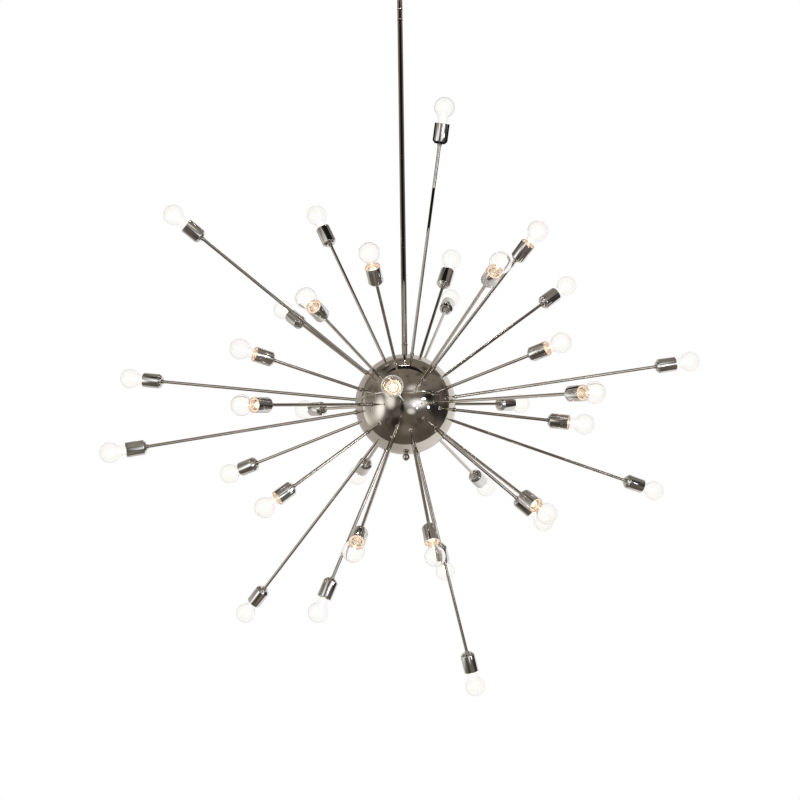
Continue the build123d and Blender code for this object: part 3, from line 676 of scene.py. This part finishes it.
def ring_bead(low):
    """The rounded outside of a raised ring, from its lower to its upper edge."""
    high = low + RING_HEIGHT
    lower = [(RING_RADIUS - 0.4, low), (RING_RADIUS - 0.1, low + 0.3), (RING_RADIUS, low + 0.9)]
    upper = [(RING_RADIUS, high - 0.9), (RING_RADIUS - 0.1, high - 0.3), (RING_RADIUS - 0.4, high)]
    return [(STEM_RADIUS, low), *lower, *upper, (STEM_RADIUS, high)]


low, high = heights("stem_coupler")
beads = ring_bead(low) + ring_bead(high - RING_HEIGHT)
coupler_outline = [(STEM_BORE_RADIUS, low), *beads, (STEM_BORE_RADIUS, high)]
finish_piece(turned("coupler_sleeve", coupler_outline, sides=72), "pendant", "stem_coupler")

low, high = heights("stem_collar")
top = low + COLLAR_HEIGHT
flat = COLLAR_RADIUS - COLLAR_ROUND
rounded = arc(flat, low + COLLAR_HEIGHT / 2, COLLAR_ROUND, -70, 70, 8)
stem_collar_outline = [(TIE_ROD_HOLE, low), (flat, low)] + rounded
stem_collar_outline += [(flat, top), (SPIGOT_RADIUS, top), (SPIGOT_RADIUS, high), (TIE_ROD_HOLE, high)]
finish_piece(turned("neck_collar", stem_collar_outline, sides=72), "pendant", "stem_collar")

# %% [markdown]
# The finial is a small ball with a short point below and a grooved collar above. It screws onto
# the end of the tie rod, so its outline ends in a blind hole and is left open on the axis.

# %% Finial
FINIAL_RADIUS = 11
FINIAL_POINT = 1.5
FINIAL_THREAD = 12
low, high = heights("finial")
finial_middle = low + FINIAL_RADIUS + FINIAL_POINT
thread_end = high - FINIAL_THREAD
finial_outline = [(0, low)] + arc(0, finial_middle, FINIAL_RADIUS, -64, 55, 24)
finial_outline += [(6.0, high - 2.0), (5.7, high - 1.4), (6.0, high - 0.6), (5.8, high), (5.1, high)]
finial_outline += [(TIE_ROD_HOLE, thread_end), (0, thread_end)]
finish_piece(turned("pointed_finial", finial_outline, sides=64, closed=False), "pendant", "finial")

# %% [markdown]
# ## Canopy and swivel
# The canopy is spun like the ball: a flat face, one large round shoulder and a rim with its edge
# turned in. Its outline runs along the outside, over the rim and back along the inside.

# %% Canopy
CANOPY_RADIUS = 75
CANOPY_HOLE = 6.7
SHOULDER = 24
SHOULDER_STEPS = 28
CANOPY_WALL = 1.2
low, high = heights("canopy")
inner = CANOPY_RADIUS - CANOPY_WALL
flat = CANOPY_RADIUS - SHOULDER
shoulder_out = arc(flat, low + SHOULDER, SHOULDER, -90, 0, SHOULDER_STEPS)
shoulder_in = arc(flat, low + SHOULDER, SHOULDER - CANOPY_WALL, 0, -90, SHOULDER_STEPS)
rim = [(CANOPY_RADIUS, high - 0.5), (CANOPY_RADIUS - 0.3, high - 0.05), (inner + 0.3, high - 0.05),
       (inner, high - 0.5)]
canopy_outline = [(CANOPY_HOLE, low)] + shoulder_out + rim + shoulder_in
canopy_outline += [(CANOPY_HOLE, low + CANOPY_WALL)]
finish_piece(turned("canopy_pan", canopy_outline, sides=120), "ceiling_fixing", "canopy")

# %% [markdown]
# The other fittings at the ceiling are turned. A knob is screwed on from below, so its blind hole is
# open at the top. The housing hangs from the nipple, has a groove that gives the fingers a grip, and
# is hollow below its thread, where the fork's spindle turns. The retainer closes it from below.

# %% Knobs
KNOB_RADIUS = 7
KNOB_SIDE = 31
KNOB_BORE = 2.05
KNOB_BORE_DEPTH = 8
low, high = heights("canopy_knobs")
bore_end = high - KNOB_BORE_DEPTH
knob_round = arc(0, low + KNOB_RADIUS, KNOB_RADIUS, 50, -80, 20)
knob_outline = [(0, bore_end), (KNOB_BORE, bore_end), (KNOB_BORE, high)] + knob_round + [(0, low)]
knob = turned("knob", knob_outline, sides=48, closed=False)
knob_places = [Matrix.Translation((x * MM, 0, 0)) for x in (-KNOB_SIDE, KNOB_SIDE)]
finish_piece(copied(knob, "round_knobs", knob_places), "ceiling_fixing", "canopy_knobs")

# %% Housing and retainer
HOUSING_RADIUS = 15
HOUSING_ROUND = 2
HOUSING_ROOM = 11.5
HOUSING_THREAD = 10
NIPPLE_HOLE = 6.55
GROOVE_RADIUS = 14.4
GROOVE_DOWN = 7
low, high = heights("swivel_housing")
groove = high - GROOVE_DOWN
room_top = high - HOUSING_THREAD
housing_outline = [(NIPPLE_HOLE, high), (GROOVE_RADIUS, high), (HOUSING_RADIUS, high - 0.6)]
housing_outline += [(HOUSING_RADIUS, groove), (GROOVE_RADIUS, groove - 0.5)]
housing_outline += [(GROOVE_RADIUS, groove - 1.5), (HOUSING_RADIUS, groove - 2)]
housing_outline += arc(HOUSING_RADIUS - HOUSING_ROUND, low + HOUSING_ROUND, HOUSING_ROUND, 0, -90, 8)
housing_outline += [(HOUSING_ROOM, low), (HOUSING_ROOM, room_top), (NIPPLE_HOLE, room_top)]
finish_piece(turned("housing_sleeve", housing_outline, sides=72), "ceiling_fixing", "swivel_housing")

SPINDLE_HOLE = 7.05
PLUG_RADIUS = 11.4
LIP_RADIUS = 13
LIP_HEIGHT = 2.5
low, high = heights("swivel_retainer")
lip = low + LIP_HEIGHT
retainer_outline = [(SPINDLE_HOLE, high), (PLUG_RADIUS, high), (PLUG_RADIUS, lip), (12.5, lip)]
retainer_outline += [(LIP_RADIUS, lip - 0.5), (LIP_RADIUS, low + 0.6), (12.4, low), (SPINDLE_HOLE, low)]
finish_piece(turned("retainer_ring", retainer_outline, sides=72), "ceiling_fixing", "swivel_retainer")

# %% [markdown]
# ## The studio
# Polished metal shows its room more than itself. The photograph was taken before a white backdrop,
# in a darker room: the middle of the ball shows the room behind the camera, and its rim shows the
# backdrop. So the world is white, and a large dome around the light is the room. It is seen only in
# reflections, so it never covers the white background. The world is a little dimmer for matt
# surfaces than for the camera and the metal, so that pale pieces keep their form.

# %% World
DIFFUSE_LEVEL = 0.75
world = bpy.data.worlds.new("white_studio")
bpy.context.scene.world = world
world.use_nodes = True
tree = world.node_tree
background = tree.nodes["Background"]
path = tree.nodes.new("ShaderNodeLightPath")
seen = path.outputs["Is Camera Ray"]
for kind in ("Is Glossy Ray", "Is Transmission Ray"):
    either = tree.nodes.new("ShaderNodeMath")
    either.operation = "MAXIMUM"
    tree.links.new(seen, either.inputs[0])
    tree.links.new(path.outputs[kind], either.inputs[1])
    seen = either.outputs[0]
tree.links.new(spread(tree, seen, 0, 1, DIFFUSE_LEVEL, 1.0), background.inputs["Strength"])
background.inputs["Color"].default_value = (1, 1, 1, 1)
print("world:", world.name)

# %% [markdown]
# The dome's axes are the photograph's own: across, up and towards the camera. Its finish is made
# from them in the next step.

# %% The dark room, as a dome that only reflections see
DOME_RADIUS = 9.0


def show_only_in_reflections(thing):
    for ray in ("visible_camera", "visible_diffuse", "visible_transmission", "visible_shadow"):
        setattr(thing, ray, False)


deselect()
bpy.ops.mesh.primitive_uv_sphere_add(segments=96, ring_count=64, radius=DOME_RADIUS)
dome = bpy.context.object
dome.name = "room_dome"
dome.matrix_world = Matrix.Translation(ball_centre) @ camera_axes
show_only_in_reflections(dome)
print("room dome faces:", len(dome.data.polygons))

# %% [markdown]
# What the metal shows is laid out on the dome by direction, as a photographer hangs cards and
# lamps around a shiny object: a brown-grey room, a pale wall on the left, soft lamps that draw
# bright lengthwise lines on every tube and cup, dark corners beside them, and a few small lamps
# that sparkle on the ball. Behind the ball the dome is pale, which gives the metal its light rim.

# %% What the room shows
tree, shader = new_material("dark_room")
tree.nodes.remove(shader)
glow = tree.nodes.new("ShaderNodeEmission")
tree.links.new(glow.outputs[0], tree.nodes["Material Output"].inputs["Surface"])
place = tree.nodes.new("ShaderNodeTexCoord")
direction = tree.nodes.new("ShaderNodeVectorMath")
direction.operation = "NORMALIZE"
tree.links.new(place.outputs["Object"], direction.inputs[0])
axes = tree.nodes.new("ShaderNodeSeparateXYZ")
tree.links.new(direction.outputs[0], axes.inputs[0])
ACROSS, UP, TOWARDS = (axes.outputs[label] for label in "XYZ")


def fade(source, low, high):
    """A mask from 0 to 1 between two values, with both ends soft."""
    result = spread(tree, source, low, high, 0.0, 1.0)
    result.node.interpolation_type = "SMOOTHERSTEP"
    return result


flat_direction = tree.nodes.new("ShaderNodeCombineXYZ")
tree.links.new(ACROSS, flat_direction.inputs["X"])
tree.links.new(UP, flat_direction.inputs["Y"])
in_front = fade(TOWARDS, -0.50, -0.30)
# the share of a card's reach that has its full colour
CARD_CORE = 0.1


def card(under, across, height, reach_across, reach_up, over):
    """Hang a round soft card on the dome. Its place and reach are shares of the radius."""
    away = tree.nodes.new("ShaderNodeVectorMath")
    away.operation = "SUBTRACT"
    away.inputs[1].default_value = (across, height, 0)
    tree.links.new(flat_direction.outputs[0], away.inputs[0])
    share = tree.nodes.new("ShaderNodeVectorMath")
    share.operation = "DIVIDE"
    share.inputs[1].default_value = (reach_across, reach_up, 1)
    tree.links.new(away.outputs[0], share.inputs[0])
    size = tree.nodes.new("ShaderNodeVectorMath")
    size.operation = "LENGTH"
    tree.links.new(share.outputs[0], size.inputs[0])
    both = tree.nodes.new("ShaderNodeMath")
    both.operation = "MULTIPLY"
    tree.links.new(fade(size.outputs["Value"], 1.0, CARD_CORE), both.inputs[0])
    tree.links.new(in_front, both.inputs[1])
    return mixed(tree, both.outputs[0], under, over)


# across, height, reach across, reach up, colour
CARDS = [
    (-0.50, 0.70, 0.75, 0.55, (0.37, 0.325, 0.28)),
    (-0.90, -0.20, 0.34, 0.55, (0.52, 0.48, 0.44)),
    (-0.84, -0.12, 0.17, 0.58, (1.5, 1.47, 1.42)),
    (-0.62, 0.38, 0.24, 0.26, (0.66, 0.64, 0.61)),
    (-0.20, 0.34, 0.18, 0.30, (0.06, 0.065, 0.075)),
    (-0.32, -0.64, 0.36, 0.32, (0.035, 0.030, 0.026)),
    (0.26, 0.56, 0.32, 0.22, (0.85, 0.83, 0.79)),
    (0.80, 0.26, 0.28, 0.34, (0.022, 0.021, 0.020)),
    (0.92, -0.16, 0.22, 0.46, (0.035, 0.032, 0.030)),
    (0.05, -0.84, 0.42, 0.22, (0.23, 0.195, 0.16)),
    (0.28, 0.02, 0.60, 0.36, (0.58, 0.58, 0.58)),
    (-0.12, -0.12, 0.15, 0.36, (0.022, 0.021, 0.020)),
    (-0.42, 0.74, 0.32, 0.30, (0.010, 0.010, 0.009)),
    (0.46, 0.04, 0.44, 0.26, (1.5, 1.53, 1.58)),
    (0.22, -0.26, 0.24, 0.18, (1.1, 1.09, 1.07)),
    (-0.56, 0.12, 0.27, 0.42, (1.25, 1.22, 1.17)),
    (0.66, 0.20, 0.085, 0.050, (14.0, 13.9, 13.6)),
    (0.34, -0.02, 0.060, 0.080, (10.0, 9.9, 9.8)),
    (0.80, -0.10, 0.040, 0.070, (9.0, 8.9, 8.8)),
    (0.50, 0.08, 0.120, 0.035, (8.0, 7.9, 7.8)),
    (0.44, -0.14, 0.035, 0.060, (8.0, 7.9, 7.8)),
]
LOWER_WALL, UPPER_WALL, FLOORING = (0.155, 0.135, 0.113), (0.235, 0.203, 0.17), (0.12, 0.10, 0.080)
PATCH, PATCH_SCALE = (0.085, 0.073, 0.061), 0.35
# where each tone begins and ends is a share of the dome's radius, up or across
colour = mixed(tree, fade(UP, -0.35, 0.45), LOWER_WALL, UPPER_WALL)
colour = mixed(tree, fade(UP, -0.60, -0.85), colour, FLOORING)
patchy = noise(tree, PATCH_SCALE, 4)
colour = mixed(tree, fade(patchy.outputs["Fac"], 0.48, 0.74), colour, PATCH)
for one in CARDS:
    colour = card(colour, *one)

# the pale backdrop, whose edge leans back a little towards the top
BACKDROP_LEFT, BACKDROP_RIGHT = (0.54, 0.50, 0.46), (0.90, 0.88, 0.85)
BACKDROP_LEAN = 0.25
behind = mixed(tree, fade(ACROSS, -0.30, 0.55), BACKDROP_LEFT, BACKDROP_RIGHT)
slant = tree.nodes.new("ShaderNodeMath")
slant.operation = "MULTIPLY_ADD"
slant.inputs[1].default_value = BACKDROP_LEAN
tree.links.new(UP, slant.inputs[0])
tree.links.new(TOWARDS, slant.inputs[2])
colour = mixed(tree, fade(slant.outputs[0], -0.46, -0.52), colour, behind)
tree.links.new(colour, glow.inputs["Color"])
dome.data.materials.append(FINISHES["dark_room"])
print("nodes in the room's finish:", len(tree.nodes))

# %% [markdown]
# The stem is the darkest piece of the photograph. A photographer gets that from a flag, a black
# screen close to the piece. Ours stands in front of the stem, out of the camera's sight, and like
# the dome it is seen only in reflections. The coupler's two rings shine although the stem beside
# them is dark: their rounded edges look up past the flag, where a small lamp waits for them.

# %% Black flag and the lamp over it
# metres, across from the stem and up from the ball's centre
FLAG_LEFT, FLAG_RIGHT = -0.3, 0.4
FLAG_LOW, FLAG_HIGH = 0.46, 1.42
RING_LAMP_WIDTH = 0.36
RING_LAMP_HEIGHT = 0.12
SCREENS_IN_FRONT = 0.24


def screen(name, width, height, across, above_ball, finish):
    """An upright sheet in front of the stem that only reflections see."""
    deselect()
    bpy.ops.mesh.primitive_plane_add(size=1, rotation=(pi / 2, 0, 0))
    sheet = bpy.context.object
    sheet.name = name
    bpy.ops.transform.resize(value=(width, 1, height))
    sheet.location = (across, -SCREENS_IN_FRONT, ball_centre.z + above_ball)
    sheet.data.materials.append(FINISHES[finish])
    show_only_in_reflections(sheet)
    print(name, "at", [round(v, 2) for v in sheet.location])
    return sheet


tree, shader = new_material("flag_black")
shader.inputs["Base Color"].default_value = (0.012, 0.012, 0.013, 1)
shader.inputs["Roughness"].default_value = 1
shader.inputs["Specular IOR Level"].default_value = 0.05
flag_across, flag_up = (FLAG_LEFT + FLAG_RIGHT) / 2, (FLAG_LOW + FLAG_HIGH) / 2
flag = screen("black_flag", FLAG_RIGHT - FLAG_LEFT, FLAG_HIGH - FLAG_LOW, flag_across, flag_up, "flag_black")

tree, shader = new_material("lit_card")
shader.inputs["Emission Color"].default_value = (1, 0.97, 0.92, 1)
shader.inputs["Emission Strength"].default_value = 24
lamp_up = FLAG_HIGH + RING_LAMP_HEIGHT
ring_lamp = screen("ring_lamp", RING_LAMP_WIDTH, RING_LAMP_HEIGHT, 0, lamp_up, "lit_card")

# %% [markdown]
# Two soft lamps model the pale parts a little: the porcelain, the paint and the floor. The metal
# has its lamps on the dome already, so these two are kept out of its reflections. Their power
# is low, so a colour renders about as it is written. The lamps' places are given in the camera's
# own directions, from the ball.

# %% Lamps
LAMP_DISTANCE = 4.2


def soft_lamp(name, side, height, front, size, width, power):
    """An area lamp at a fixed distance from the ball, turned to it. The power is in watts."""
    way = (right * side + up * height + to_camera * front).normalized()
    data = bpy.data.lights.new(name, "AREA")
    data.shape = "RECTANGLE"
    data.size = size
    data.size_y = width
    data.energy = power
    lamp = bpy.data.objects.new(name, data)
    bpy.context.collection.objects.link(lamp)
    turned_to_ball = way.to_track_quat("Z", "Y").to_matrix().to_4x4()
    lamp.matrix_world = Matrix.Translation(ball_centre + way * LAMP_DISTANCE) @ turned_to_ball
    lamp.visible_glossy = False


soft_lamp("soft_lamp_right", 0.50, 0.61, 0.62, 2.2, 0.8, 8.0)
soft_lamp("soft_lamp_left", -0.75, 0.25, 0.55, 0.5, 2.4, 5.0)
print("lamps:", len(bpy.data.lights))

# %% [markdown]
# The floor lies well below the light and glows a little, so that it stays as white as the backdrop
# in a view from above. The metal doesn't mirror it, because the dome has a floor of its own.

# %% Floor
FLOOR_BELOW_BALL = 2.6
FLOOR_SIZE = 40
deselect()
bpy.ops.mesh.primitive_plane_add(size=FLOOR_SIZE, location=(0, 0, ball_centre.z - FLOOR_BELOW_BALL))
floor = bpy.context.object
floor.name = "pale_floor"
floor.visible_glossy = False
tree, shader = new_material("pale_floor")
mask = use_group(tree, tarnish, Amount=0.3)
tree.links.new(mixed(tree, mask, (0.55, 0.55, 0.55), (0.52, 0.52, 0.52)), shader.inputs["Base Color"])
shader.inputs["Roughness"].default_value = 0.9
shader.inputs["Emission Color"].default_value = (1, 1, 1, 1)
shader.inputs["Emission Strength"].default_value = 0.6
floor.data.materials.append(FINISHES["pale_floor"])
print("floor at", round(floor.location.z, 2), "m")
